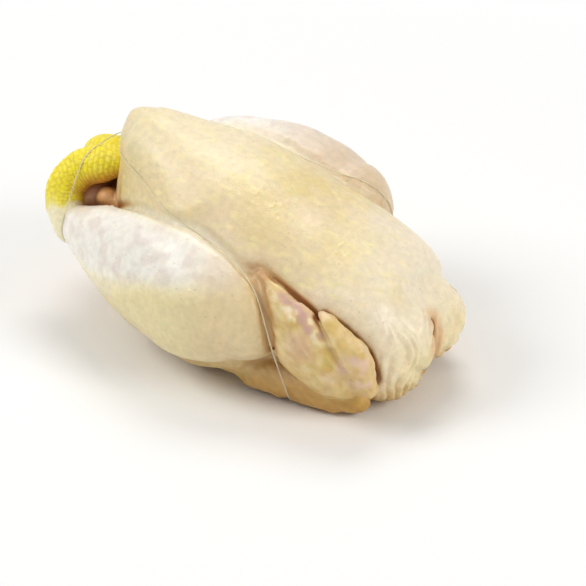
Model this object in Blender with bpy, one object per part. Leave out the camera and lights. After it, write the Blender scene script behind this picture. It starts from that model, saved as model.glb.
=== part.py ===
"""A whole raw chicken, trussed, lying on its back.

Units are metres. +X runs toward the neck end, +Y toward the leg that rides higher, +Z up,
and the origin is on the ground under the middle of the bird. The carcass is one solid: tapered
lofts for the trunk, legs, wings, neck skin and folded shanks are joined and remeshed into a
single skin. Two closed loops of elastic lie in shallow grooves of that skin.
"""

import math

import bmesh
import bpy
import numpy as np
from mathutils import Vector
from mathutils.bvhtree import BVHTree

MM = 0.001

# Driving dimensions, millimetres
BODY_HALF_WIDTH = 58.0      # trunk, at its widest
VENT_TOP = 136.0            # height of the keel at the vent end
NECK_TOP = 60.0             # height of the breast at the neck end
VENT_X = -108.0             # plane of the vent rim, at the keel
NECK_X = 90.0               # last full section of the trunk
LEG_RADIUS = 33.0           # drumstick and thigh together, at the fullest
LEG_OUT = 51.0              # middle of the leg from the middle of the bird
FAR_LEG_LIFT = 21.0         # the bird rolls, so the +Y leg rides this much higher
FAR_LEG_FULLER = 5.0        # and is this much wider on its inner side
SHANK_RADIUS = 11.5
SKIN_VOXEL = 2.4            # mesh size of the joined skin
SKIN_SHARE = 0.081          # share of the remeshed triangles that is kept
ELASTIC_RADIUS = 0.65
ELASTIC_CLEARANCE = 0.35
ELASTIC_STEP = 6.0          # distance between points of an elastic loop

# The stations below are written about a point under the wing roots; this moves them so that
# the origin lies under the middle of the whole bird
SHIFT = np.array([32.1, -1.9, 0.0])

RING = 40                   # points round a loft
STEPS = 5                   # sections between two stations of a loft
CAP_STEPS = 5


def stations(rows):
    """Catmull-Rom sections through rows of (x, y, z, half width, up, down)."""
    rows = np.array(rows, float)
    ext = np.vstack([2 * rows[0] - rows[1], rows, 2 * rows[-1] - rows[-2]])
    out = []
    for i in range(1, len(ext) - 2):
        p0, p1, p2, p3 = ext[i - 1:i + 3]
        for k in range(STEPS):
            t = k / STEPS
            out.append(0.5 * (2 * p1 + (p2 - p0) * t + (2 * p0 - 5 * p1 + 4 * p2 - p3) * t * t
                              + (3 * p1 - p0 - 3 * p2 + p3) * t ** 3))
    out.append(ext[-2])
    out = np.array(out)
    out[:, 3:] = np.maximum(out[:, 3:], 0.5)
    return out


def loft(bm, rows, side=(0, 1, 0), squareness=2.0, caps=(1.0, 1.0)):
    """Add a closed loft to bm: oval sections square to the spine, with rounded ends."""
    rows = stations(rows)
    centre, half, up, down = rows[:, :3] + SHIFT, rows[:, 3], rows[:, 4], rows[:, 5]
    along = np.gradient(centre, axis=0)
    along /= np.linalg.norm(along, axis=1)[:, None]
    across = np.array(side, float) - (along @ np.array(side, float))[:, None] * along
    across /= np.linalg.norm(across, axis=1)[:, None]
    upward = np.cross(along, across)
    if upward[:, 2].mean() < 0:
        upward = -upward
    turn = np.arange(RING) * 2 * math.pi / RING
    c = np.sign(np.cos(turn)) * np.abs(np.cos(turn)) ** (2 / squareness)
    s = np.sign(np.sin(turn)) * np.abs(np.sin(turn)) ** (2 / squareness)

    def ring(i, shift, scale):
        rise = np.where(s > 0, up[i], down[i])
        points = (centre[i] + along[i] * shift + np.outer(c * half[i] * scale, across[i])
                  + np.outer(s * rise * scale, upward[i]))
        return [bm.verts.new(Vector(p * MM)) for p in points]

    def cap(i, share, sign):
        length = share * min(half[i], (up[i] + down[i]) / 2)
        angles = [k / CAP_STEPS * math.pi / 2 * 0.96 for k in range(1, CAP_STEPS + 1)]
        return [ring(i, sign * length * math.sin(a), math.cos(a)) for a in angles]

    rings = cap(0, caps[0], -1)[::-1]
    rings += [ring(i, 0, 1) for i in range(len(rows))]
    rings += cap(len(rows) - 1, caps[1], 1)
    for a, b in zip(rings[:-1], rings[1:]):
        for j in range(RING):
            bm.faces.new((a[j], a[(j + 1) % RING], b[(j + 1) % RING], b[j]))
    bm.faces.new(rings[0][::-1])
    bm.faces.new(rings[-1])
    bmesh.ops.recalc_face_normals(bm, faces=bm.faces)


def mirrored(rows, lift=0.0, out=0.0):
    """The rows on the +Y side, lifted most toward the neck end."""
    return [(r[0], out - r[1], r[2] + lift * min(1.0, max(0.3, 1.9 + r[0] / 80)), *r[3:])
            for r in rows]


def new_object(name, bm):
    mesh = bpy.data.meshes.new(name)
    bm.to_mesh(mesh)
    bm.free()
    obj = bpy.data.objects.new(name, mesh)
    bpy.context.scene.collection.objects.link(obj)
    return obj


def lofted(name, parts, base=None):
    """One object from several closed lofts, and from the evaluated mesh of base."""
    bm = bmesh.new()
    if base:
        graph = bpy.context.evaluated_depsgraph_get()
        evaluated = base.evaluated_get(graph)
        bm.from_mesh(evaluated.to_mesh())
        evaluated.to_mesh_clear()
        bpy.data.objects.remove(base, do_unlink=True)
    for rows, options in parts:
        single = bmesh.new()
        loft(single, rows, **options)
        mesh = bpy.data.meshes.new("single")
        single.to_mesh(mesh)
        single.free()
        bm.from_mesh(mesh)
        bpy.data.meshes.remove(mesh)
    return new_object(name, bm)


def box(name, low, high):
    bm = bmesh.new()
    bmesh.ops.create_cube(bm, size=1.0)
    low, high = Vector(low) * MM, Vector(high) * MM
    for v in bm.verts:
        v.co = Vector(((v.co[i] + 0.5) * (high[i] - low[i]) + low[i]) for i in range(3))
    return new_object(name, bm)


def material(name, colour, roughness):
    mat = bpy.data.materials.new(name)
    mat.use_nodes = True
    shader = mat.node_tree.nodes["Principled BSDF"]
    shader.inputs["Base Color"].default_value = (*colour, 1.0)
    shader.inputs["Roughness"].default_value = roughness
    return mat


def modifier(obj, kind, **settings):
    mod = obj.modifiers.new(kind.title(), kind)
    for key, value in settings.items():
        setattr(mod, key, value)
    return mod


def cut_with(obj, cutter):
    modifier(obj, "BOOLEAN", operation="DIFFERENCE", solver="EXACT", object=cutter)
    cutter.display_type = "WIRE"
    cutter.hide_render = True


for old in list(bpy.data.objects):
    bpy.data.objects.remove(old, do_unlink=True)

# Trunk: breast above, back below
W = BODY_HALF_WIDTH
trunk = [
    (VENT_X - 16, 4, VENT_TOP - 44, 0.17 * W, 35, 14),
    (VENT_X - 6, 3, VENT_TOP - 46, 0.33 * W, 41, 32),
    (VENT_X + 10, 1, VENT_TOP - 50, 0.59 * W, 46, 44),
    (-60, 0, 72, 0.95 * W, 54, 68),
    (-24, 0, 62, W, 54, 66),
    (14, 0, 54, W, 48, 58),
    (48, 0, 46, 0.96 * W, 43, 50),
    (73, 0, 40, 0.80 * W, 35, 40),
    (NECK_X, 3, 41, 0.55 * W, NECK_TOP - 41, 17),
]

# Leg: drumstick and thigh folded together, hock toward the vent
L = LEG_RADIUS
leg = [
    (-146, -LEG_OUT + 23, 57, 9, 10, 10),
    (-130, -LEG_OUT + 18, 57, 0.42 * L, 17, 14),
    (-105, -LEG_OUT + 11, 56, 0.66 * L, 28, 22),
    (-75, -LEG_OUT + 5, 53, 0.88 * L, 40, 31),
    (-42, -LEG_OUT, 49, L, 46, 36),
    (-17, -LEG_OUT - 2, 48, L, 40, 30),
    (1, -LEG_OUT - 1, 48, 0.84 * L, 32, 23),
]
far_leg = [(x, y - FAR_LEG_FULLER, z, half + FAR_LEG_FULLER, up, down)
           for x, y, z, half, up, down in mirrored(leg, FAR_LEG_LIFT, 4)]
hip = [
    (-8, -44, 34, 24, 24, 28),
    (-45, -40, 30, 30, 26, 26),
    (-85, -32, 36, 26, 22, 22),
    (-108, -20, 46, 16, 18, 18),
]

# Tail and the skin between the hocks, with the tail tip turned up in front of the vent
tail = [
    (-82, 0, 36, 28, 16, 26),
    (-106, -2, 46, 20, 13, 18),
    (-120, -5, 56, 14, 10, 12),
]
rump = [
    (-108, 5, 62, 20, 14, 14),
    (-124, 6, 68, 17, 15, 16),
    (-138, 8, 70, 13, 14, 14),
    (-146, 8, 70, 9, 11, 11),
]
nub = [(-117, -17, 68, 7, 7, 7), (-124, -17, 73.5, 7.5, 7.5, 7.5)]
web = [
    (-144, -24, 60, 8, 10, 12),
    (-138, -14, 64, 9, 14, 14),
    (-124, -4, 64, 12, 14, 14),
]

# Shank: from the hock up and over into the vent
S = SHANK_RADIUS
shank = [
    (-141, -31, 57, S, S, S),
    (-149, -28, 68, S, S, S),
    (-149, -23, 80, S, S, S),
    (-141, -17, 89, S, S, S),
    (-129, -13, 94, 0.95 * S, 0.95 * S, 0.95 * S),
    (-117, -8, 96, 0.72 * S, 0.72 * S, 0.72 * S),
    (-98, -3, 93, 0.6 * S, 0.6 * S, 0.6 * S),
]
far_shank = [
    (-141, 35, 63, S, S, S),
    (-151, 28, 72, S, S, S),
    (-152, 18, 80, S, S, S),
    (-145, 9, 87, S, S, S),
    (-130, 6, 91, S, S, S),
    (-114, 6, 92, 0.9 * S, 0.9 * S, 0.9 * S),
    (-98, 4, 90, 0.8 * S, 0.8 * S, 0.8 * S),
]

# Wing, folded flat against the flank: forearm, upper arm along the breast, hand under the leg
forearm = [
    (8, -52, 78, 5, 6, 7),
    (22, -57, 66, 8, 13, 15),
    (42, -60, 50, 10, 20, 22),
    (60, -57, 35, 11, 20, 20),
    (69, -51, 28, 10, 15, 15),
]
upper_arm = [
    (54, -57, 68, 3, 3, 4),
    (63, -58, 61, 6, 6, 7),
    (73, -58, 52, 8, 8, 9),
    (77, -55, 42, 8, 9, 11),
    (75, -50, 28, 8, 11, 12),
]
hand = [
    (66, -40, 13, 10, 10, 12),
    (50, -47, 13, 10, 11, 12),
    (26, -51, 15, 9, 12, 12),
    (0, -52, 16, 8, 11, 11),
    (-20, -51, 16, 6, 8, 8),
    (-32, -49, 15, 4, 5, 5),
]

# Neck skin: two lobes, and the cleft that is cut between them
near_lobe = [(54, -14, 36, 34, 28, 34), (62, -18, 28, 28, 24, 26), (66, -19, 22, 20, 20, 20)]
far_lobe = [(56, 18, 42, 32, 26, 34), (73, 22, 40, 23, 24, 30), (84, 24, 38, 14, 17, 24)]
cleft = [(97, -5, 54, 1.5, 5, 5), (99, -5, 38, 3.5, 10, 9), (96, -5, 16, 5, 12, 12),
         (92, -4, -4, 6, 12, 12)]

# The vent is a shallow hollow under the tip of the breast, with a thickened rim
hollow = [
    (-136, 0, 86, 13, 20, 16),
    (-118, 0, 87, 13, 21, 18),
    (-106, 0, 86, 17, 21, 20),
    (-94, 0, 83, 17, 18, 18),
    (-84, 0, 82, 11, 11, 11),
]
lip = [
    (-111, -15, 112, 2.2, 2.2, 2.2),
    (-109, -20, 98, 3.0, 3.0, 3.0),
    (-107, -23, 84, 3.4, 3.4, 3.4),
    (-104, -25, 74, 3.0, 3.0, 3.0),
]

# Sub-parts on both sides, with how far the +Y one is lifted and moved out
pairs = [(hip, 8, 0), (web, 8, 0), (forearm, -8, -9), (upper_arm, -14, -13), (hand, 0, 0)]
parts = [(tail, {}), (rump, {}), (nub, {}), (lip, {}), (near_lobe, {}), (far_lobe, {}),
         (leg, {}), (far_leg, {}),
         (shank, {"side": (0.3, 1, 0)}), (far_shank, {"side": (-0.3, 1, 0)})]
for rows, lift, out in pairs:
    parts.append((rows, {}))
    parts.append((mirrored(rows, lift, out), {}))

body = lofted("trunk", [(trunk, {"squareness": 2.35, "caps": (0.22, 0.4)})])
pocket = lofted("pocket_cutter", [(hollow, {})])
cut_with(body, pocket)

chicken = lofted("chicken", parts, base=body)
bpy.data.objects.remove(pocket, do_unlink=True)
modifier(chicken, "REMESH", mode="VOXEL", voxel_size=SKIN_VOXEL * MM)
modifier(chicken, "SMOOTH", factor=0.5, iterations=3)
modifier(chicken, "DECIMATE", ratio=SKIN_SHARE)

cut_with(chicken, lofted("cleft_cutter", [(cleft, {})]))

# The back is flat where it lies
ground = box("ground_cutter", (-220, -160, -60), (180, 160, 0))
cut_with(chicken, ground)


def surface(obj):
    graph = bpy.context.evaluated_depsgraph_get()
    evaluated = obj.evaluated_get(graph)
    mesh = evaluated.to_mesh()
    tree = BVHTree.FromPolygons([v.co.copy() for v in mesh.vertices],
                                [tuple(p.vertices) for p in mesh.polygons])
    evaluated.to_mesh_clear()
    return tree


def closed_points(rows):
    """Even points, ELASTIC_STEP apart, on a closed Catmull-Rom through rows."""
    rows = np.array(rows, float) + SHIFT
    n, fine = len(rows), []
    for i in range(n):
        p0, p1, p2, p3 = (rows[(i + k) % n] for k in (-1, 0, 1, 2))
        for t in np.arange(24) / 24:
            fine.append(0.5 * (2 * p1 + (p2 - p0) * t + (2 * p0 - 5 * p1 + 4 * p2 - p3) * t * t
                               + (3 * p1 - p0 - 3 * p2 + p3) * t ** 3))
    fine.append(fine[0])
    fine = np.array(fine)
    run = np.concatenate([[0], np.cumsum(np.linalg.norm(np.diff(fine, axis=0), axis=1))])
    count = round(run[-1] / ELASTIC_STEP)
    at = np.arange(count) / count * run[-1]
    return np.stack([np.interp(at, run, fine[:, i]) for i in range(3)], axis=1)


def stretch(points, tree, rounds=30):
    """Pull a loop taut while the skin holds it out; under the back it keeps just off the ground."""
    low = ELASTIC_RADIUS + 0.25
    lying = points[:, 2] < 2.0
    for _ in range(rounds):
        points = 0.5 * points + 0.25 * (np.roll(points, 1, axis=0) + np.roll(points, -1, axis=0))
        for i, p in enumerate(points):
            if lying[i]:
                p[2] = low
                continue
            spot, normal, _, gap = tree.find_nearest(Vector(p * MM))
            outside = (Vector(p * MM) - spot).dot(normal) > 0
            if not outside or gap < 0.25 * MM:
                points[i] = np.array(spot + normal * 0.25 * MM) / MM
        points[:, 2] = np.maximum(points[:, 2], low)
    return points


def tube(name, points, radius):
    curve = bpy.data.curves.new(name, "CURVE")
    curve.dimensions = "3D"
    curve.bevel_depth = radius * MM
    curve.bevel_resolution = 2
    curve.resolution_u = 1
    spline = curve.splines.new("POLY")
    spline.points.add(len(points) - 1)
    for target, p in zip(spline.points, points):
        target.co = (*(p * MM), 1.0)
    spline.use_cyclic_u = True
    obj = bpy.data.objects.new(name, curve)
    bpy.context.scene.collection.objects.link(obj)
    return obj


def meshed(name, curve):
    """A mesh object in place of a curve, to cut with."""
    graph = bpy.context.evaluated_depsgraph_get()
    mesh = bpy.data.meshes.new_from_object(curve.evaluated_get(graph))
    bpy.data.objects.remove(curve, do_unlink=True)
    obj = bpy.data.objects.new(name, mesh)
    bpy.context.scene.collection.objects.link(obj)
    return obj


# Elastic: one loop round both hocks, one over the creases of the legs and under the back
hock_loop = [
    (-137, -33, 45), (-138, -42, 62), (-139, -34, 82), (-135, -23, 100), (-131, -4, 108),
    (-132, 14, 106), (-140, 28, 94), (-142, 44, 78), (-138, 38, 56), (-131, 2, 44),
]
near_side = [
    (-121, -8, 108), (-109, -20, 108), (-94, -28, 107), (-73, -38, 101), (-43, -47, 93),
    (5, -58, 82), (20, -66, 66), (27, -73, 52), (31, -69, 36), (33, -65, 22), (33, -60, 8),
    (31, -46, 1),
]
far_side = [
    (-121, 8, 109), (-109, 19, 112), (-94, 25, 112), (-75, 29, 110), (-34, 31, 109),
    (5, 42, 100), (20, 56, 84), (27, 67, 60), (31, 69, 38), (33, 65, 22), (33, 60, 8),
    (31, 46, 1),
]
body_loop = [(-123, 0, 109), *near_side, (29, -16, 1), (29, 16, 1), *far_side[::-1]]

skin = surface(chicken)
elastic = material("elastic", (0.86, 0.82, 0.70), 0.35)
grooves = []
for name, rows in (("hock_elastic", hock_loop), ("body_elastic", body_loop)):
    path = stretch(closed_points(rows), skin)
    band = tube(name, path, ELASTIC_RADIUS)
    band.data.materials.append(elastic)
    fatter = tube(name + "_fat", path, ELASTIC_RADIUS + ELASTIC_CLEARANCE)
    grooves.append(meshed(name + "_cutter", fatter))

for groove in grooves:
    cut_with(chicken, groove)
chicken.data.materials.append(material("skin", (0.80, 0.66, 0.47), 0.42))
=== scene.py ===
"""Looks of a whole raw chicken, trussed with thin elastic, lying on its back.

The carcass is built the way the anatomy goes: oval lofts for trunk, legs, wings, neck skin and
tail become distance fields, which are joined with a crease radius of their own, and the skin's
folds, pleats and feather bumps are then raised on the mesh. Lengths of the bird are millimetres
in the frame of the stations; SHIFT and MM take them to the CAD frame. The camera, lights, floor
and materials are in metres.
"""

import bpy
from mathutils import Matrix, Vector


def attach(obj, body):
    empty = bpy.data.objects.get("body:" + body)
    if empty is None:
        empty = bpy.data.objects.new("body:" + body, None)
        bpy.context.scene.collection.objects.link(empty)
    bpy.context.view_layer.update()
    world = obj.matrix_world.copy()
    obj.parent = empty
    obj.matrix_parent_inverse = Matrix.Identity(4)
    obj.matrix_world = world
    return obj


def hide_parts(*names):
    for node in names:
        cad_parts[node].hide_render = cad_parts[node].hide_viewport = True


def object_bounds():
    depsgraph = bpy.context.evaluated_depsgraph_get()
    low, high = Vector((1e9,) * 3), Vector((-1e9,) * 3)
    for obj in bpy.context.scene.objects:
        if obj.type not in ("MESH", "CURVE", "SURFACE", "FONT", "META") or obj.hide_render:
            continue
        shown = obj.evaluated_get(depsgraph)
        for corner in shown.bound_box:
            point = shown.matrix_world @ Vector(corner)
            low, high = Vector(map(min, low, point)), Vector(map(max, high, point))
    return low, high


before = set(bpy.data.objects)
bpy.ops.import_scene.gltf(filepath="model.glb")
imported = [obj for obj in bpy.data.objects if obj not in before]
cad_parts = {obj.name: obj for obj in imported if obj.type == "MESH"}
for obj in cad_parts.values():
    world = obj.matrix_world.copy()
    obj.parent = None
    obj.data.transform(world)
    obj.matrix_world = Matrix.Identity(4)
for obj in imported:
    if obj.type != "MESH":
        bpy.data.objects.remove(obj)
BOX = [list(corner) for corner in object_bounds()]

import itertools
import math

import bpy
import numpy as np
import openvdb as vdb
from mathutils import Vector
from mathutils.bvhtree import BVHTree

MM = 0.001
SHIFT = np.array([32.1, -1.9, 0.0])

# Driving dimensions, as in the CAD
BODY_HALF_WIDTH = 58.0
VENT_TOP = 136.0
NECK_TOP = 60.0
VENT_X = -108.0
NECK_X = 90.0
LEG_RADIUS = 33.0
LEG_OUT = 51.0
FAR_LEG_LIFT = 21.0
FAR_LEG_FULLER = 5.0
SHANK_RADIUS = 11.5
ELASTIC_RADIUS = 0.35

THINNEST = 0.4              # half width of a section, at the least
LOWEST_SKIN = 0.02
VOXEL = 1.15                # grid of the carcass
REACH = 15.0                # how far out the distance fields are kept
LOW = np.array([-172.0, -104.0, -14.0])
HIGH = np.array([118.0, 106.0, 140.0])

CAMERA_AZIMUTH = 33.0
CAMERA_ELEVATION = 30.0
CAMERA_DISTANCE = 1.517
CAMERA_LENS = 158.4
CAMERA_AIM = Vector((0.0303, -0.0031, -0.0267))    # from the middle of the bird's box

# Name, azimuth and elevation in degrees, distance, size, watts, colour
LIGHTS = (
    ("key", 205, 62, 1.5, 0.8, 7.5, (1.0, 0.98, 0.95)),
    ("right", 90, 30, 1.7, 0.8, 11.0, (1.0, 0.99, 0.97)),
    ("left", -50, 42, 1.7, 0.9, 12.5, (1.0, 1.0, 1.0)),
)
WORLD_LIGHT = 0.35
FLOOR_FADE = (0.12, 0.62)   # metres from the middle, where it starts to fade and is white


# ---------------------------------------------------------------- lofts

CAP_RINGS = 7
CAP_ANGLE = math.pi / 2 * 0.97      # just short of the pole, which a fan of triangles closes


def catmull_rom(p0, p1, p2, p3, t):
    """The point a share t of the way from p1 to p2."""
    return 0.5 * (2 * p1 + (p2 - p0) * t + (2 * p0 - 5 * p1 + 4 * p2 - p3) * t * t
                  + (3 * p1 - p0 - 3 * p2 + p3) * t ** 3)


def lengths_along(points):
    """Length run along a polyline at each of its points."""
    return np.append(0, np.cumsum(np.linalg.norm(np.diff(points, axis=0), axis=1)))


def stations(rows, steps):
    """Catmull-Rom sections through rows of (x, y, z, half width, up, down)."""
    rows = np.array(rows, float)
    ext = np.vstack([2 * rows[0] - rows[1], rows, 2 * rows[-1] - rows[-2]])
    out = []
    for i in range(1, len(ext) - 2):
        out += [catmull_rom(*ext[i - 1:i + 3], t) for t in np.arange(steps) / steps]
    out.append(ext[-2])
    out = np.array(out)
    out[:, 3:] = np.maximum(out[:, 3:], THINNEST)
    return out


def loft(rows, side=(0, 1, 0), squareness=2.0, caps=(1.0, 1.0), ring=64, steps=8):
    """Points, quads and triangles of oval sections square to a spine, with rounded ends."""
    rows = stations(rows, steps)
    centre, half, up, down = rows[:, :3], rows[:, 3], rows[:, 4], rows[:, 5]
    along = np.gradient(centre, axis=0)
    along /= np.linalg.norm(along, axis=1)[:, None]
    side = np.array(side, float)
    across = side - (along @ side)[:, None] * along
    across /= np.linalg.norm(across, axis=1)[:, None]
    upward = np.cross(along, across)
    if upward[:, 2].mean() < 0:
        upward = -upward
    turn = np.arange(ring) * 2 * math.pi / ring
    c = np.sign(np.cos(turn)) * np.abs(np.cos(turn)) ** (2 / squareness)
    s = np.sign(np.sin(turn)) * np.abs(np.sin(turn)) ** (2 / squareness)

    def section(i, shift, scale):
        rise = np.where(s > 0, up[i], down[i])
        return (centre[i] + along[i] * shift + np.outer(c * half[i] * scale, across[i])
                + np.outer(s * rise * scale, upward[i]))

    def cap(i, share, sign):
        length = share * min(half[i], (up[i] + down[i]) / 2)
        angles = np.arange(1, CAP_RINGS + 1) / CAP_RINGS * CAP_ANGLE
        return [section(i, sign * length * math.sin(a), math.cos(a)) for a in angles]

    rings = cap(0, caps[0], -1)[::-1]
    rings += [section(i, 0, 1) for i in range(len(rows))]
    rings += cap(len(rows) - 1, caps[1], 1)
    points = np.vstack(rings + [rings[0].mean(0)[None], rings[-1].mean(0)[None]])
    count = len(rings)
    i, j = np.meshgrid(np.arange(count - 1), np.arange(ring), indexing="ij")
    k = (j + 1) % ring
    quads = np.stack([i * ring + j, i * ring + k, (i + 1) * ring + k, (i + 1) * ring + j], -1)
    j = np.arange(ring)
    k = (j + 1) % ring
    last = (count - 1) * ring
    first_fan = np.stack([np.full(ring, count * ring), k, j], -1)
    last_fan = np.stack([np.full(ring, count * ring + 1), last + j, last + k], -1)
    return points, quads.reshape(-1, 4).astype(np.uint32), np.vstack(
        [first_fan, last_fan]).astype(np.uint32)


def mirrored(rows, lift=0.0, out=0.0):
    """The rows on the +Y side, lifted most toward the neck end."""
    return [(r[0], out - r[1], r[2] + lift * min(1.0, max(0.3, 1.9 + r[0] / 80)), *r[3:])
            for r in rows]


# ---------------------------------------------------------------- distance fields

SIZE = np.ceil((HIGH - LOW) / VOXEL).astype(int) + 1


def distance(*lofts):
    """Signed distance to the union of lofts, on the whole grid."""
    field = np.full(SIZE, REACH, np.float32)
    for points, quads, tris in lofts:
        low = np.maximum(np.floor((points.min(0) - REACH - LOW) / VOXEL).astype(int), 0)
        high = np.minimum(np.ceil((points.max(0) + REACH - LOW) / VOXEL).astype(int) + 1, SIZE)
        local = (points - LOW - low * VOXEL).astype(np.float32)
        grid = vdb.FloatGrid.createLevelSetFromPolygons(
            local, triangles=tris, quads=quads,
            transform=vdb.createLinearTransform(voxelSize=VOXEL), halfWidth=REACH / VOXEL)
        part = np.full(high - low, REACH, np.float32)
        grid.copyToArray(part, ijk=(0, 0, 0))
        window = tuple(slice(a, b) for a, b in zip(low, high))
        field[window] = np.minimum(field[window], part)
    return field


def union(a, b, crease):
    """Smooth minimum: the two skins meet over a fillet of about this radius."""
    h = np.clip(0.5 + 0.5 * (b - a) / crease, 0, 1)
    return b + (a - b) * h - crease * h * (1 - h)


def carve(a, b, edge):
    return -union(-a, b, edge)


def deepen(field, a, b, width, depth):
    """Cut deeper along the line where the skins of a and b meet."""
    return field + depth * np.exp(-(a * a + b * b) / (2 * width * width))


def trilinear(value_at, cell, share):
    """Blend the values at the eight corners of each cell; share is how far into it we are."""
    total = 0.0
    for corner in itertools.product((0, 1), repeat=3):
        weight = np.abs(1 - np.array(corner) - share).prod(1)
        total = total + weight * value_at(cell + corner)
    return total


def sample(field, points):
    """Value of a distance field at points."""
    at = np.clip((points - LOW) / VOXEL, 0, SIZE - 1.001)
    cell = at.astype(int)
    return trilinear(lambda i: field[tuple(i.T)], cell, at - cell)


# ---------------------------------------------------------------- noise and ramps

PERIOD = 32                 # cells before the noise repeats
NOISE_OFFSET = 500.0        # cells, so that the bird lies away from the lattice's origin


def smooth(t):
    return t * t * (3 - 2 * t)


def step(a, b, x):
    """A smooth ramp from 0 where x is a to 1 where x is b."""
    return smooth(np.clip((x - a) / (b - a), 0, 1))


def value_noise(points, cell, seed):
    """Smooth noise from about -1 to 1, which 1.4 spreads it to; a cell per axis."""
    table = np.random.default_rng(seed).uniform(-1, 1, (PERIOD, PERIOD, PERIOD))
    at = points / np.array(cell, float) + NOISE_OFFSET
    base = np.floor(at).astype(int)
    return 1.4 * trilinear(lambda i: table[tuple(i.T % PERIOD)], base, smooth(at - base))


def nearest_seed(points, cell, seed):
    """Distance to the nearest of a jittered lattice of seeds, one for each cell."""
    table = np.random.default_rng(seed).uniform(0.15, 0.85, (PERIOD, PERIOD, PERIOD, 3))
    base = np.floor(points / cell).astype(int)
    best = np.full(len(points), np.inf)
    for neighbour in itertools.product((-1, 0, 1), repeat=3):
        i = base + neighbour
        spot = (i + table[tuple(i.T % PERIOD)]) * cell
        best = np.minimum(best, np.linalg.norm(points - spot, axis=1))
    return best


# ---------------------------------------------------------------- anatomy

# Rows of (x, y, z, half width, up, down): the neck is toward +X, the near side toward -Y
W, L, S = BODY_HALF_WIDTH, LEG_RADIUS, SHANK_RADIUS
TRUNK = [
    (VENT_X - 16, 4, VENT_TOP - 44, 0.17 * W, 35, 14),
    (VENT_X - 6, 3, VENT_TOP - 46, 0.33 * W, 41, 32),
    (VENT_X + 10, 1, VENT_TOP - 50, 0.59 * W, 46, 44),
    (-60, 0, 72, 0.95 * W, 54, 68),
    (-24, 0, 62, W, 54, 66),
    (14, 0, 54, W, 48, 58),
    (48, 0, 46, 0.96 * W, 43, 50),
    (73, 0, 40, 0.80 * W, 35, 40),
    (NECK_X, 3, 41, 0.55 * W, NECK_TOP - 41, 17),
]
LEG = [
    (-146, -LEG_OUT + 23, 57, 9, 10, 10),
    (-130, -LEG_OUT + 18, 57, 0.42 * L, 17, 14),
    (-105, -LEG_OUT + 11, 56, 0.66 * L, 28, 22),
    (-75, -LEG_OUT + 5, 53, 0.88 * L, 40, 31),
    (-42, -LEG_OUT, 49, L, 46, 36),
    (-17, -LEG_OUT - 2, 48, L, 40, 30),
    (1, -LEG_OUT - 1, 48, 0.84 * L, 32, 23),
]
FAR_LEG = [(x, y - FAR_LEG_FULLER, z, half + FAR_LEG_FULLER, up, down)
           for x, y, z, half, up, down in mirrored(LEG, FAR_LEG_LIFT, 4)]
HIP = [
    (-8, -44, 34, 24, 24, 28),
    (-45, -40, 30, 30, 26, 26),
    (-85, -32, 36, 26, 22, 22),
    (-108, -20, 46, 16, 18, 18),
]
TAIL = [
    (-82, 0, 36, 28, 16, 26),
    (-106, -2, 46, 20, 13, 18),
    (-120, -5, 56, 14, 10, 12),
]
RUMP = [
    (-108, 5, 62, 20, 14, 14),
    (-124, 6, 68, 17, 15, 16),
    (-138, 8, 70, 13, 14, 14),
    (-146, 8, 70, 9, 11, 11),
]
NUB = [(-117, -17, 68, 7, 7, 7), (-124, -17, 73.5, 7.5, 7.5, 7.5)]
WEB = [
    (-144, -24, 60, 8, 10, 12),
    (-138, -14, 64, 9, 14, 14),
    (-124, -4, 64, 12, 14, 14),
]
LIP = [
    (-111, -15, 112, 2.2, 2.2, 2.2),
    (-109, -20, 98, 3.0, 3.0, 3.0),
    (-107, -23, 84, 3.4, 3.4, 3.4),
    (-104, -25, 74, 3.0, 3.0, 3.0),
]
SHANK = [
    (-141, -31, 57, S, S, S),
    (-149, -28, 68, S, S, S),
    (-149, -23, 80, S, S, S),
    (-141, -17, 89, S, S, S),
    (-129, -13, 94, 0.95 * S, 0.95 * S, 0.95 * S),
    (-117, -8, 96, 0.72 * S, 0.72 * S, 0.72 * S),
    (-98, -3, 93, 0.6 * S, 0.6 * S, 0.6 * S),
]
FAR_SHANK = [
    (-141, 35, 63, S, S, S),
    (-151, 28, 72, S, S, S),
    (-152, 18, 80, S, S, S),
    (-145, 9, 87, S, S, S),
    (-130, 6, 91, S, S, S),
    (-114, 6, 92, 0.9 * S, 0.9 * S, 0.9 * S),
    (-98, 4, 90, 0.8 * S, 0.8 * S, 0.8 * S),
]
FOREARM = [
    (8, -52, 78, 5, 6, 7),
    (22, -57, 66, 8, 13, 15),
    (42, -60, 50, 10, 20, 22),
    (60, -57, 35, 11, 20, 20),
    (69, -51, 28, 10, 15, 15),
]
UPPER_ARM = [
    (54, -57, 68, 3, 3, 4),
    (63, -58, 61, 6, 6, 7),
    (73, -58, 52, 8, 8, 9),
    (77, -55, 42, 8, 9, 11),
    (75, -50, 28, 8, 11, 12),
]
HAND = [
    (66, -40, 13, 10, 10, 12),
    (50, -47, 13, 10, 11, 12),
    (26, -51, 15, 9, 12, 12),
    (0, -52, 16, 8, 11, 11),
    (-20, -51, 16, 6, 8, 8),
    (-32, -49, 15, 4, 5, 5),
]
NEAR_LOBE = [(54, -14, 36, 34, 28, 34), (62, -18, 28, 28, 24, 26), (66, -19, 22, 20, 20, 20)]
FAR_LOBE = [(56, 18, 42, 32, 26, 34), (73, 22, 40, 23, 24, 30), (84, 24, 38, 14, 17, 24)]
CLEFT = [(97, -5, 54, 1.5, 5, 5), (99, -5, 38, 3.5, 10, 9), (96, -5, 16, 5, 12, 12),
         (92, -4, -4, 6, 12, 12)]
VENT = [
    (-136, 0, 86, 13, 20, 16),
    (-118, 0, 87, 13, 21, 18),
    (-106, 0, 86, 17, 21, 20),
    (-94, 0, 83, 17, 18, 18),
    (-84, 0, 82, 11, 11, 11),
]


# ---------------------------------------------------------------- mesh helpers

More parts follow.
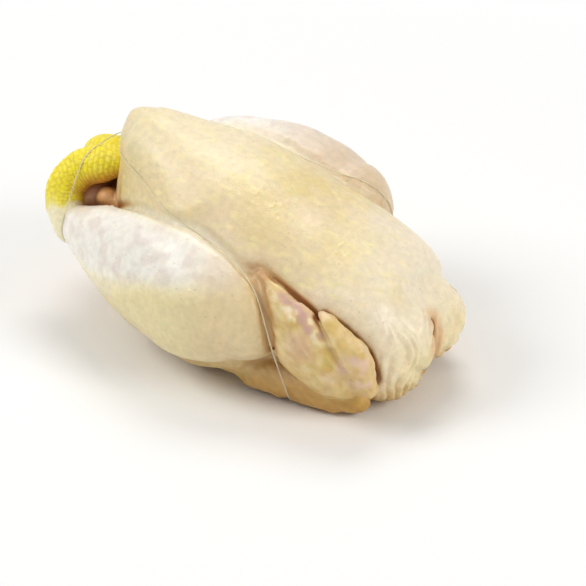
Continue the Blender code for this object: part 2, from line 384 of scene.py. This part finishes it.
def in_frame(points):
    """Metres in the CAD frame, from millimetres among the stations."""
    return (points + SHIFT) * MM


def new_object(name, data):
    obj = bpy.data.objects.new(name, data)
    bpy.context.scene.collection.objects.link(obj)
    return obj


def mesh_object(name, points, quads, tris):
    """A smooth mesh object from points in millimetres."""
    faces = [np.asarray(f) for f in (quads, tris) if len(f)]
    mesh = bpy.data.meshes.new(name)
    mesh.vertices.add(len(points))
    mesh.vertices.foreach_set("co", in_frame(points).astype(np.float32).ravel())
    corners = np.concatenate([f.ravel() for f in faces]).astype(np.int32)
    sizes = np.concatenate([np.full(len(f), f.shape[1]) for f in faces])
    starts = np.concatenate([[0], np.cumsum(sizes)[:-1]]).astype(np.int32)
    mesh.loops.add(len(corners))
    mesh.loops.foreach_set("vertex_index", corners)
    mesh.polygons.add(len(starts))
    mesh.polygons.foreach_set("loop_start", starts)
    mesh.update(calc_edges=True)
    mesh.validate()
    mesh.shade_smooth()
    return new_object(name, mesh)


def normals(obj):
    out = np.empty(len(obj.data.vertices) * 3, np.float32)
    obj.data.vertices.foreach_get("normal", out)
    return out.reshape(-1, 3).astype(float)


def move_points(obj, points):
    obj.data.vertices.foreach_set("co", in_frame(points).astype(np.float32).ravel())
    obj.data.update()


def colour_layer(obj, name, colours):
    """Per-vertex linear colour, from 0-255 display values."""
    layer = obj.data.color_attributes.new(name, "FLOAT_COLOR", "POINT")
    linear = np.clip(colours, 0, 255) / 255
    linear = np.where(linear < 0.04045, linear / 12.92, ((linear + 0.055) / 1.055) ** 2.4)
    layer.data.foreach_set("color", np.hstack(
        [linear, np.ones((len(linear), 1))]).astype(np.float32).ravel())


# ---------------------------------------------------------------- carcass

def part_fields():
    """Distance field of each mass of the bird by itself."""
    return {
        "trunk": distance(loft(TRUNK, squareness=2.35, caps=(0.22, 0.4))),
        "vent": distance(loft(VENT)),
        "legs": distance(loft(LEG), loft(FAR_LEG)),
        "hips": distance(loft(HIP), loft(mirrored(HIP, 8))),
        "forearms": distance(loft(FOREARM), loft(mirrored(FOREARM, -8, -9))),
        "arms": distance(loft(UPPER_ARM), loft(mirrored(UPPER_ARM, -14, -13))),
        "hands": distance(loft(HAND), loft(mirrored(HAND))),
        "lobes": union(distance(loft(NEAR_LOBE)), distance(loft(FAR_LOBE)), 2.0),
        "tail": union(distance(loft(TAIL), loft(RUMP)),
                      distance(loft(WEB), loft(mirrored(WEB, 8))), 3.0),
        "nub": distance(loft(NUB)),
        "lip": distance(loft(LIP)),
        "cleft": distance(loft(CLEFT)),
    }


def join_wings(part):
    arms = union(part["forearms"], part["arms"], 1.5)
    return union(deepen(arms, part["forearms"], part["arms"], 1.6, 1.5), part["hands"], 5.0)


def join_body(part):
    """Join all the masses, each with its own crease, and cut the bird flat at the ground."""
    body = union(carve(part["trunk"], part["vent"], 4.0), part["lip"], 1.6)
    body = carve(union(body, part["lobes"], 9.0), part["cleft"], 4.0)
    for name, crease in (("hips", 10.0), ("tail", 6.0), ("nub", 1.5)):
        body = union(body, part[name], crease)
    for name, width, depth in (("wings", 1.8, 2.2), ("legs", 2.0, 3.0)):
        body = deepen(union(body, part[name], 1.6), body, part[name], width, depth)
    height = (LOW[2] + np.arange(SIZE[2]) * VOXEL).astype(np.float32)
    return carve(body, np.broadcast_to(height, body.shape), 1.2)


def build_carcass():
    """The smooth carcass, its points and field, and each point's distance from each mass."""
    part = part_fields()
    part["wings"] = join_wings(part)
    body = join_body(part)
    grid = vdb.FloatGrid(background=REACH)
    grid.copyFromArray(body)
    grid.transform = vdb.createLinearTransform(voxelSize=VOXEL)
    points, tris, quads = grid.convertToPolygons(isovalue=0.0, adaptivity=0.0)
    points = points + LOW
    near = {name: sample(field, points) for name, field in part.items()}
    return mesh_object("carcass", points, quads, tris), points, body, near


BRUISE = ((30, -62, 76), (56, -66, 61))     # ends of the thin pink skin over the wing bone
WRIST = ((78, -62, 46), (80, -60, 34))
SEAM_FADE = 2.5                             # how far the regions blend into each other


def from_line(points, start, end):
    """Distance to the segment from start to end, on either side of the bird."""
    points = np.stack([points[:, 0], -np.abs(points[:, 1]), points[:, 2]], axis=1)
    start, axis = np.array(start, float), np.subtract(end, start)
    t = np.clip((points - start) @ axis / (axis @ axis), 0, 1)
    return np.linalg.norm(points - start - t[:, None] * axis, axis=1)


def regions(points, near):
    """Soft masks from 0 to 1 for the parts of the bird."""
    closeness = {name: np.exp(-np.maximum(near[name], 0) / SEAM_FADE) for name in
                 ("trunk", "legs", "wings", "lobes", "tail", "hips")}
    total = sum(closeness.values()) + 1e-6
    masks = {name: value / total for name, value in closeness.items()}
    x, y, z = points.T
    masks["vent"] = step(3.0, 0.5, near["vent"]) * (x < -84)
    masks["lip"] = step(2.5, 0.5, near["lip"])
    masks["cleft"] = step(9.0, 1.0, near["cleft"])
    masks["nub"] = step(1.5, 0.0, near["nub"])
    masks["hands"] = step(3.0, 0.5, near["hands"]) * masks["wings"]
    masks["arms"] = step(2.5, 0.5, near["arms"]) * masks["wings"]
    # Skin stretched thin over the bone and the wrist of the wing: pink, with a painted highlight
    # along the bone's ridge
    masks["ridge"] = step(7, 1, from_line(points, *BRUISE)) * masks["wings"]
    masks["wrist"] = step(16, 5, from_line(points, *WRIST)) * masks["wings"]
    # Edges: wing against leg, painted as shade; leg against breast; and breast against the lip
    # of the vent, where a line of shade is painted
    masks["seam"] = masks["wings"] * step(8.0, 1.5, near["legs"])
    masks["rim"] = masks["legs"] * step(9.0, 2.0, near["trunk"]) * (z > 60)
    masks["line"] = step(0.5, 2.0, near["lip"]) * step(5.0, 3.0, near["lip"]) * masks["trunk"]
    # The top of the tail inside the vent, painted as in shadow, and the pleated skin under the
    # breast
    masks["shadow"] = masks["tail"] * step(60, 68, z) * step(-136, -128, x) * (1 - masks["nub"])
    masks["pleats"] = (step(46, 76, x) * step(70, 34, z) * step(48, 30, np.abs(y))
                       * (1 - masks["wings"]))
    return masks


WING_AXIS = Vector((0.70, -0.05, -0.71)).normalized()
WING_TURN = np.array(WING_AXIS.to_track_quat("X", "Z").to_matrix())
LUMP_HEIGHT = 0.8
PLEAT_HEIGHT = 2.0
PLEAT_PITCH = 9.0
WRINKLE_HEIGHT = 0.6
FOLLICLE_PITCH = 4.6
HOLLOW_REACH = 4.0          # how far out the skin looks for skin across a crease


def leg_middle(x, y):
    """Height of the line along each leg where its white skin turns yellow."""
    return 60 + 0.27 * (x + 60) + np.where(y > 0, FAR_LEG_LIFT, 0)


def neck_pleats(points):
    """Pleats of the neck skin, which run down and gather under the breast."""
    x, y, z = points.T
    warp = value_noise(points, (18, 14, 22), 3) * 6.0
    pleat = np.abs(np.sin((y * 0.9 + x * 0.55 + warp) * 2 * math.pi / PLEAT_PITCH))
    fullness = 0.6 + 0.4 * value_noise(points, (10, 10, 26), 7)
    crumple = value_noise(points, (4, 4, 10), 8) * 0.4
    return ((pleat ** 0.8 - 0.5) * 2.0 * fullness + crumple) * step(1, 16, z)


def wing_wrinkles(points):
    """Fine wrinkles lengthwise on the wing, over coarser ones across it."""
    turned = points @ WING_TURN
    return value_noise(turned, (22, 2.6, 2.6), 4) + 0.7 * value_noise(turned, (4, 9, 9), 9)


def feather_masks(points, masks):
    """Where the feather follicles are, and the two tracts where they stand out."""
    x, y, z = points.T
    band = np.exp(-((np.abs(y) - 25 + 0.05 * x) / 11) ** 2) * step(55, 75, z)
    patchy = step(-0.5, 0.4, value_noise(points, (22, 18, 18), 6))
    line = np.exp(-((z - leg_middle(x, y)) / 6.0) ** 2)
    return {"follicle": step(1.5, 0.3, nearest_seed(points, FOLLICLE_PITCH, 5)),
            "tract": band * patchy * masks["trunk"],
            "leg_line": line * masks["legs"] * step(0, -25, x)}


def sculpt(obj, points, body, masks):
    """Raise folds, pleats and bumps on the smooth carcass, and mask them; the moved points."""
    n = normals(obj)
    across = sample(body, points + n * HOLLOW_REACH)
    masks["hollow"] = np.clip((HOLLOW_REACH - across) / HOLLOW_REACH, 0, 1)
    masks.update(feather_masks(points, masks))
    soft = value_noise(points, (30, 24, 24), 1) + 0.35 * value_noise(points, (12, 10, 10), 2)
    bumps = masks["follicle"] * (0.16 + 0.38 * masks["tract"] + 0.9 * masks["leg_line"]
                                 + 0.7 * masks["rim"])
    lift = (soft * LUMP_HEIGHT * (1 - 0.5 * masks["hollow"])
            + neck_pleats(points) * masks["pleats"] * PLEAT_HEIGHT
            + wing_wrinkles(points) * masks["wings"] * WRINKLE_HEIGHT
            + bumps * (1 - masks["tail"]) * (1 - masks["vent"]))
    lift *= step(0.2, 3.0, points[:, 2])
    points = points + n * lift[:, None]
    points[:, 2] = np.maximum(points[:, 2], LOWEST_SKIN)
    move_points(obj, points)
    return points


# ---------------------------------------------------------------- colours of the skin

def paint(count, ground, layers):
    """Colours of count points: the ground, then each layer as far as its mask covers it."""
    colour = np.tile(np.array(ground, float), (count, 1))
    for mask, rgb in layers:
        colour += (np.array(rgb) - colour) * np.clip(mask, 0, 1)[:, None]
    return colour


def skin_noises(points):
    """The noises that the layers share, from wide blotches to a fine mottle."""
    cells = {"blotch": (24, 18, 18), "fine": (7, 6, 6), "mottle": (5, 3.5, 3.5),
             "fleck": (8, 3, 3), "smudge": (14, 10, 8)}
    return {name: value_noise(points, cell, 11 + i)
            for i, (name, cell) in enumerate(cells.items())}


def breast_layers(x, y, z, m):
    yellow = step(0.0, 0.8, m["blotch"] + 0.35 * m["fine"])
    return [
        (yellow * 0.7, (225, 202, 132)),
        (step(-0.1, -0.9, m["blotch"]) * 0.6, (233, 214, 186)),
        (step(0, 80, x) * 0.85, (245, 233, 211)),
        (step(-70, -110, x) * 0.8, (218, 199, 142)),
        # Painted highlight: the top of the breast, over the keel, made paler
        (step(104, 124, z) * 0.55, (247, 235, 203)),
        (m["tract"] * (0.25 + 0.5 * m["follicle"]), (236, 214, 138)),
        (step(0.45, 0.9, m["fleck"]) * m["trunk"] * step(60, 80, z) * 0.45, (245, 230, 168)),
    ]


def leg_layers(x, y, z, m):
    """White above the middle line and yellow below it, smudged pink toward the rump."""
    legs = m["legs"]
    above = z - leg_middle(x, y)
    white = legs * step(-7, 8, above + 5 * m["blotch"])
    foot = step(40, 26, z - np.where(y > 0, FAR_LEG_LIFT, 0)) * step(-40, -80, x)
    return [
        (legs, (232, 218, 168)),
        (white, (247, 242, 232)),
        (white * step(0.0, 0.7, m["fine"]) * 0.45, (226, 211, 200)),
        (m["rim"] * (0.3 + 0.6 * m["follicle"]), (250, 240, 206)),
        (legs * step(-35, 0, x) * 0.5, (222, 196, 158)),
        (m["leg_line"] * (0.4 + 0.5 * m["follicle"]), (244, 228, 164)),
        (legs * foot * step(0.1, 0.8, m["smudge"]) * 0.6, (206, 156, 118)),
    ]


def wing_layers(x, y, z, m):
    """Mottled yellow, with pink where the skin is thin over the bones, a painted highlight along
    the bone's ridge, and painted ochre shade low on the hand.
    """
    wings, mottle = m["wings"], m["mottle"]
    return [
        (wings, (224, 198, 134)),
        (wings * (y > 0) * 0.6, (240, 222, 178)),
        (wings * step(0.1, 0.8, mottle) * 0.5, (240, 222, 172)),
        (wings * step(0.1, 0.8, -mottle) * 0.4, (204, 160, 96)),
        (wings * step(0.1, 0.9, m["fine"]) * 0.6, (214, 180, 84)),
        (wings * step(0.1, 0.8, -m["blotch"]) * 0.5, (222, 182, 160)),
        (m["arms"] * 0.3, (230, 200, 150)),
        (m["ridge"] * step(0.6, -0.6, mottle) * 0.8, (206, 164, 162)),
        # Painted highlight along the ridge of the bone, in patches
        (m["ridge"] * step(0.1, 0.8, mottle) * 0.8, (246, 232, 220)),
        (m["wrist"] * step(-0.4, 0.6, mottle) * 0.6, (226, 188, 178)),
        # Painted shade and a warm painted reflection from below: ochre low on the hand
        (m["hands"] * step(26, 8, z) * 0.6, (206, 160, 84)),
    ]


def end_layers(x, y, z, m):
    """The neck skin, with painted ochre shade near the ground, then the far thigh, hips, tail
    and the rim of the vent, beside whose lip a line of shade is painted.
    """
    return [
        (m["pleats"] * 0.5, (238, 218, 158)),
        # Painted shade and a warm painted reflection from below: the neck skin ochre near the
        # ground
        (m["lobes"] * step(30, 2, z) * 0.75, (198, 152, 68)),
        (m["legs"] * (y > 0) * step(-70, -10, x) * 0.6, (216, 190, 160)),
        (m["hips"], (214, 190, 130)),
        (m["tail"], (234, 190, 140)),
        (m["nub"], (226, 176, 116)),
        # Painted shade: a brown line on the skin beside the vent's lip
        (m["line"] * step(104, 84, z) * 0.6, (198, 140, 84)),
        (m["lip"] * 0.7, (228, 194, 132)),
        (m["cleft"] * 0.55, (208, 158, 104)),
    ]


def painted_shade_and_tail_layers(x, y, z, m):
    """Painted shade: ochre to brown in the creases, dark inside the vent and on the tail within
    it, dark brown where the wing tucks under the leg, and ochre near the ground with a warm
    painted reflection from below; the tail and nub get their own tones again over it.
    """
    return [
        # Painted shade in the creases
        (step(0.32, 0.85, m["hollow"]) * 0.75, (196, 150, 82)),
        (step(0.5, 0.95, m["hollow"]) * 0.75, (136, 76, 40)),
        # Painted shade inside the vent, darkest deep in
        (m["vent"], (190, 126, 70)),
        (m["vent"] * step(-112, -100, x), (70, 24, 14)),
        # Painted shadow on the top of the tail inside the vent
        (m["shadow"] * 0.85, (84, 36, 18)),
        # The tail's and the nub's own tones, laid again over the painted shade
        (m["tail"] * step(-126, -134, x) * 0.8, (224, 172, 138)),
        (m["nub"] * 0.7, (230, 176, 118)),
        # Painted shade where the wing tucks under the leg
        (m["seam"] * 0.75, (160, 98, 48)),
        # Painted shade and a warm painted reflection from below: ochre near the ground on the
        # wing, on all the skin, and in patches on the pleats
        (m["wings"] * step(34, 14, z) * 0.55, (188, 145, 62)),
        (step(20, 2, z) * 0.55, (186, 138, 58)),
        (m["pleats"] * step(34, 8, z) * step(0.3, -0.5, m["fine"]) * 0.5, (204, 160, 84)),
    ]


def skin_colours(points, masks):
    masks = {**masks, **skin_noises(points)}
    layers = []
    for region in (breast_layers, leg_layers, wing_layers, end_layers, painted_shade_and_tail_layers):
        layers += region(*points.T, masks)
    return paint(len(points), (227, 206, 158), layers)


# ---------------------------------------------------------------- shanks

SCUTE_LENGTH = 2.9
SCUTE_WIDTH = 5.3
SCUTE_HEIGHT = 0.55
SCUTES_ROUND = 13
SHANK_LUMPS = 0.5
SHANK_RING = 132            # points round a shank


def build_shank(name, rows, side):
    """A folded shank: rows of horny plates, staggered like bricks, cream at the hock, with
    painted shade on its underside and toward the end that goes in under the vent.
    """
    points, quads, tris = loft(rows, side=side, ring=SHANK_RING, steps=22)
    count = (len(points) - 2) // SHANK_RING
    spine = points[:-2].reshape(count, SHANK_RING, 3).mean(1)
    run = lengths_along(spine)
    s = np.append(np.repeat(run, SHANK_RING), [0, run[-1]])
    turn = np.append(np.tile(np.arange(SHANK_RING) / SHANK_RING, count), [0, 0])
    obj = mesh_object(name, points, quads, tris)
    n = normals(obj)
    wobble = value_noise(points, (5, 5, 5), 21) * 0.25
    row = s / SCUTE_LENGTH + wobble + 0.35 * np.sin(turn * 4 * math.pi)
    column = turn * SCUTES_ROUND + 0.5 * (np.floor(row) % 2) + wobble
    edge = np.minimum(np.abs(row - np.round(row)) * SCUTE_LENGTH,
                      np.abs(column - np.round(column)) * SCUTE_WIDTH)
    plate = step(0.0, 0.75, edge)
    horny = step(20, 34, s)
    lumps = value_noise(points, (9, 9, 9), 22)
    lift = (plate - 0.5) * SCUTE_HEIGHT * horny + lumps * SHANK_LUMPS
    move_points(obj, points + n * lift[:, None])
    shade = value_noise(points, (6, 6, 6), 23)
    colour_layer(obj, "tone", paint(len(points), (253, 237, 46), [
        (step(-0.2, 0.8, shade) * 0.6, (244, 230, 92)),
        ((1 - plate) * 0.45, (222, 184, 44)),
        # Painted shade: orange-brown on the sides that face down
        (step(0.3, -0.7, n[:, 2]) * 0.8, (212, 148, 58)),
        (step(-0.1, 0.9, -shade) * 0.3, (214, 190, 40)),
        (1 - step(20, 33, s + shade * 4), (248, 238, 200)),
        # Painted shade: browner toward the end that goes in under the vent
        (step(-118, -104, points[:, 0]) * 0.6, (196, 132, 56)),
    ]))
    return obj


# ---------------------------------------------------------------- elastic

HOCK_LOOP = [
    (-137, -33, 45), (-138, -42, 62), (-139, -34, 82), (-135, -23, 100), (-131, -4, 108),
    (-132, 14, 106), (-140, 28, 94), (-142, 44, 78), (-138, 38, 56), (-131, 2, 44),
]
NEAR_SIDE = [
    (-121, -8, 108), (-109, -20, 108), (-94, -28, 107), (-73, -38, 101), (-43, -47, 93),
    (5, -58, 82), (20, -66, 66), (27, -73, 52), (31, -69, 36), (33, -65, 22), (33, -60, 8),
    (31, -46, 1),
]
FAR_SIDE = [
    (-121, 8, 109), (-109, 19, 112), (-94, 25, 112), (-75, 29, 110), (-34, 31, 109),
    (5, 42, 100), (20, 56, 84), (27, 67, 60), (31, 69, 38), (33, 65, 22), (33, 60, 8),
    (31, 46, 1),
]
BODY_LOOP = [(-123, 0, 109), *NEAR_SIDE, (29, -16, 1), (29, 16, 1), *FAR_SIDE[::-1]]
ELASTIC_LIFT = 0.4          # its middle above the skin
ELASTIC_SPACING = 3.0
STRETCH_ROUNDS = 60
LYING_BELOW = 2.0           # points of the loop lower than this lie under the back


def closed_points(rows, gap, steps=24):
    """Even points, gap apart, on a closed Catmull-Rom through rows."""
    rows = np.array(rows, float)
    fine = []
    for i in range(len(rows)):
        corners = [rows[(i + k) % len(rows)] for k in (-1, 0, 1, 2)]
        fine += [catmull_rom(*corners, t) for t in np.arange(steps) / steps]
    fine = np.array(fine + fine[:1])
    run = lengths_along(fine)
    count = round(run[-1] / gap)
    at = np.arange(count) / count * run[-1]
    return np.stack([np.interp(at, run, fine[:, i]) for i in range(3)], axis=1)


def skin_tree(*objects):
    """One search tree over the surfaces that the elastic lies on, in millimetres."""
    points, faces = [], []
    for obj in objects:
        base = len(points)
        points += [v.co / MM - Vector(SHIFT) for v in obj.data.vertices]
        faces += [tuple(base + i for i in p.vertices) for p in obj.data.polygons]
    return BVHTree.FromPolygons(points, faces)


def stretch(points, tree, rounds):
    """Pull a loop taut while the skin holds it out; under the back it stays off the ground."""
    low = ELASTIC_RADIUS + 0.1
    lying = points[:, 2] < LYING_BELOW
    for _ in range(rounds):
        points = 0.5 * points + 0.25 * (np.roll(points, 1, axis=0) + np.roll(points, -1, axis=0))
        for i, p in enumerate(points):
            if lying[i]:
                p[2] = low
                continue
            spot, normal, _, gap = tree.find_nearest(Vector(p))
            if (Vector(p) - spot).dot(normal) < 0 or gap < ELASTIC_LIFT:
                points[i] = np.array(spot + normal * ELASTIC_LIFT)
        points[:, 2] = np.maximum(points[:, 2], low)
    return points


def build_elastic(name, rows, tree):
    points = stretch(closed_points(rows, ELASTIC_SPACING), tree, STRETCH_ROUNDS)
    curve = bpy.data.curves.new(name, "CURVE")
    curve.dimensions = "3D"
    curve.bevel_depth = ELASTIC_RADIUS * MM
    curve.bevel_resolution = 3
    spline = curve.splines.new("POLY")
    spline.points.add(len(points) - 1)
    for target, p in zip(spline.points, points):
        target.co = (*in_frame(p), 1.0)
    spline.use_cyclic_u = True
    return new_object(name, curve)


# ---------------------------------------------------------------- materials

def new_material(name):
    mat = bpy.data.materials.new(name)
    mat.use_nodes = True
    nodes, links = mat.node_tree.nodes, mat.node_tree.links
    return mat, nodes, links, nodes["Principled BSDF"]


MIX_COLOUR_INPUTS = (0, 6, 7)       # a Mix node's factor, first and second colour
MIX_COLOUR_OUTPUT = 2


class Shading:
    """Short names for building a node material; scales are features per metre of the bird."""

    def __init__(self, name, **settings):
        self.material, self.nodes, self.links, self.shader = new_material(name)
        self.where = self.nodes.new("ShaderNodeTexCoord").outputs["Object"]
        for key, value in settings.items():
            self.shader.inputs[key.replace("_", " ")].default_value = value

    def layer(self, name):
        node = self.nodes.new("ShaderNodeAttribute")
        node.attribute_name = name
        return node.outputs["Color"]

    def noise(self, scale, detail=4.0):
        node = self.nodes.new("ShaderNodeTexNoise")
        node.inputs["Scale"].default_value = scale
        node.inputs["Detail"].default_value = detail
        self.links.new(self.where, node.inputs["Vector"])
        return node.outputs["Fac"]

    def cells(self, scale, feature="F1"):
        node = self.nodes.new("ShaderNodeTexVoronoi")
        node.feature = feature
        node.inputs["Scale"].default_value = scale
        self.links.new(self.where, node.inputs["Vector"])
        return node.outputs["Distance"]

    def ranged(self, value, low, high, to_low, to_high):
        node = self.nodes.new("ShaderNodeMapRange")
        for socket, number in zip(node.inputs[1:5], (low, high, to_low, to_high)):
            socket.default_value = number
        self.links.new(value, node.inputs["Value"])
        return node.outputs["Result"]

    def mixed(self, first, second, factor, blend="MIX"):
        node = self.nodes.new("ShaderNodeMix")
        node.data_type = "RGBA"
        node.blend_type = blend
        for index, value in zip(MIX_COLOUR_INPUTS, (factor, first, second)):
            socket = node.inputs[index]
            if isinstance(value, (int, float, tuple)):
                socket.default_value = value
            else:
                self.links.new(value, socket)
        return node.outputs[MIX_COLOUR_OUTPUT]

    def relief(self, *bumps):
        """Chained bumps, each (height, strength, distance in metres)."""
        normal = None
        for height, strength, distance in bumps:
            node = self.nodes.new("ShaderNodeBump")
            node.inputs["Strength"].default_value = strength
            node.inputs["Distance"].default_value = distance
            self.links.new(height, node.inputs["Height"])
            if normal:
                self.links.new(normal, node.inputs["Normal"])
            normal = node.outputs["Normal"]
        self.links.new(normal, self.shader.inputs["Normal"])

    def colour(self, value):
        self.links.new(value, self.shader.inputs["Base Color"])


def skin_material():
    skin = Shading("skin", Roughness=0.38, Subsurface_Weight=0.35, Subsurface_Scale=0.006,
                   Subsurface_Radius=(1.0, 0.55, 0.3), Specular_IOR_Level=0.45,
                   Coat_Weight=0.2, Coat_Roughness=0.22)
    base = skin.mixed(skin.layer("tone"),
                      skin.ranged(skin.noise(240), 0.3, 0.7, 0.91, 1.05), 1.0, "MULTIPLY")
    pores = skin.ranged(skin.cells(170), 0.05, 0.14, 0.28, 0.0)
    skin.colour(skin.mixed(base, (0.34, 0.25, 0.10, 1), pores))
    skin.relief((skin.noise(900, 6), 0.30, 0.0007),
                (skin.cells(520, "DISTANCE_TO_EDGE"), 0.26, 0.0006))
    return skin.material


def shank_material():
    horn = Shading("shank", Roughness=0.42, Subsurface_Weight=0.2, Subsurface_Scale=0.003,
                   Subsurface_Radius=(1.0, 0.7, 0.2), Specular_IOR_Level=0.4)
    horn.colour(horn.mixed(horn.layer("tone"),
                           horn.ranged(horn.noise(400), 0.3, 0.7, 0.9, 1.06), 1.0, "MULTIPLY"))
    horn.relief((horn.noise(1400, 5), 0.3, 0.0004))
    return horn.material


def elastic_material():
    band = Shading("elastic", Roughness=0.25, Base_Color=(0.90, 0.83, 0.62, 1),
                   Transmission_Weight=0.35, IOR=1.4)
    return band.material


# ---------------------------------------------------------------- camera, light and floor

def look_from(obj, aim, azimuth, elevation, distance):
    """Place obj so that it faces aim; azimuth 0 is the near side, which looks along +Y."""
    a, e = math.radians(azimuth), math.radians(elevation)
    ahead = Vector((-math.sin(a) * math.cos(e), math.cos(a) * math.cos(e), -math.sin(e)))
    obj.location = aim - ahead * distance
    obj.rotation_mode = "QUATERNION"
    obj.rotation_quaternion = ahead.to_track_quat("-Z", "Y")


def add_camera(middle):
    data = bpy.data.cameras.new("camera")
    data.lens = CAMERA_LENS
    data.sensor_width = 36
    data.clip_start, data.clip_end = 0.05, 20
    camera = new_object("camera", data)
    look_from(camera, middle + CAMERA_AIM, CAMERA_AZIMUTH, CAMERA_ELEVATION, CAMERA_DISTANCE)
    bpy.context.scene.camera = camera


def add_light(aim, name, azimuth, elevation, distance, size, power, colour):
    data = bpy.data.lights.new(name, "AREA")
    data.shape = "DISK"
    data.size = size
    data.energy = power
    data.color = colour
    look_from(new_object(name, data), aim, azimuth, elevation, distance)


def background_rays(nodes, links):
    """1 for the rays that show the background: straight, mirrored or through the elastic."""
    path = nodes.new("ShaderNodeLightPath")
    seen = path.outputs["Is Camera Ray"]
    for kind in ("Is Glossy Ray", "Is Transmission Ray"):
        either = nodes.new("ShaderNodeMath")
        either.operation = "MAXIMUM"
        links.new(seen, either.inputs[0])
        links.new(path.outputs[kind], either.inputs[1])
        seen = either.outputs["Value"]
    return seen


def add_world():
    world = bpy.data.worlds.new("studio")
    bpy.context.scene.world = world
    world.use_nodes = True
    nodes, links = world.node_tree.nodes, world.node_tree.links
    soft = nodes["Background"]
    soft.inputs["Color"].default_value = (1, 1, 1, 1)
    soft.inputs["Strength"].default_value = WORLD_LIGHT
    white = nodes.new("ShaderNodeBackground")
    white.inputs["Color"].default_value = (1, 1, 1, 1)
    mix = nodes.new("ShaderNodeMixShader")
    links.new(background_rays(nodes, links), mix.inputs["Fac"])
    links.new(soft.outputs["Background"], mix.inputs[1])
    links.new(white.outputs["Background"], mix.inputs[2])
    links.new(mix.outputs["Shader"], nodes["World Output"].inputs["Surface"])


def add_floor():
    bpy.ops.mesh.primitive_plane_add(size=6)
    floor = bpy.context.object
    floor.name = "floor"
    mat, nodes, links, shader = new_material("floor")
    shader.inputs["Base Color"].default_value = (0.95, 0.95, 0.945, 1)
    shader.inputs["Roughness"].default_value = 0.7
    shader.inputs["Specular IOR Level"].default_value = 0.1
    # Away from the bird and its shadow the floor fades into the white behind it
    where = nodes.new("ShaderNodeTexCoord")
    far = nodes.new("ShaderNodeVectorMath")
    far.operation = "LENGTH"
    fade = nodes.new("ShaderNodeMapRange")
    fade.interpolation_type = "SMOOTHSTEP"
    fade.inputs["From Min"].default_value, fade.inputs["From Max"].default_value = FLOOR_FADE
    seen = nodes.new("ShaderNodeMath")
    seen.operation = "MULTIPLY"
    white = nodes.new("ShaderNodeEmission")
    mix = nodes.new("ShaderNodeMixShader")
    links.new(where.outputs["Object"], far.inputs[0])
    links.new(far.outputs["Value"], fade.inputs["Value"])
    links.new(fade.outputs["Result"], seen.inputs[0])
    links.new(background_rays(nodes, links), seen.inputs[1])
    links.new(seen.outputs["Value"], mix.inputs["Fac"])
    links.new(shader.outputs["BSDF"], mix.inputs[1])
    links.new(white.outputs["Emission"], mix.inputs[2])
    links.new(mix.outputs["Shader"], nodes["Material Output"].inputs["Surface"])
    floor.data.materials.append(mat)


# ---------------------------------------------------------------- assembly

middle = (Vector(BOX[0]) + Vector(BOX[1])) / 2
add_camera(middle)
add_world()
add_floor()
for light in LIGHTS:
    add_light(middle, *light)

carcass, points, body, near = build_carcass()
masks = regions(points, near)
points = sculpt(carcass, points, body, masks)
colour_layer(carcass, "tone", skin_colours(points, masks))
horn = shank_material()
shanks = [build_shank("shank_near", SHANK, (0.3, 1, 0)),
          build_shank("shank_far", FAR_SHANK, (-0.3, 1, 0))]
tree = skin_tree(carcass, *shanks)
hock_band = build_elastic("elastic_hock", HOCK_LOOP, tree)
body_band = build_elastic("elastic_body", BODY_LOOP, tree)

carcass.data.materials.append(skin_material())
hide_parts("chicken")
rubber = elastic_material()
for band, node in ((hock_band, "hock_elastic"), (body_band, "body_elastic")):
    band.data.materials.append(rubber)
    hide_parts(node)
for shank in shanks:
    shank.data.materials.append(horn)
for piece in (carcass, *shanks, hock_band, body_band):
    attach(piece, "root")

bpy.context.scene.view_settings.view_transform = "Standard"
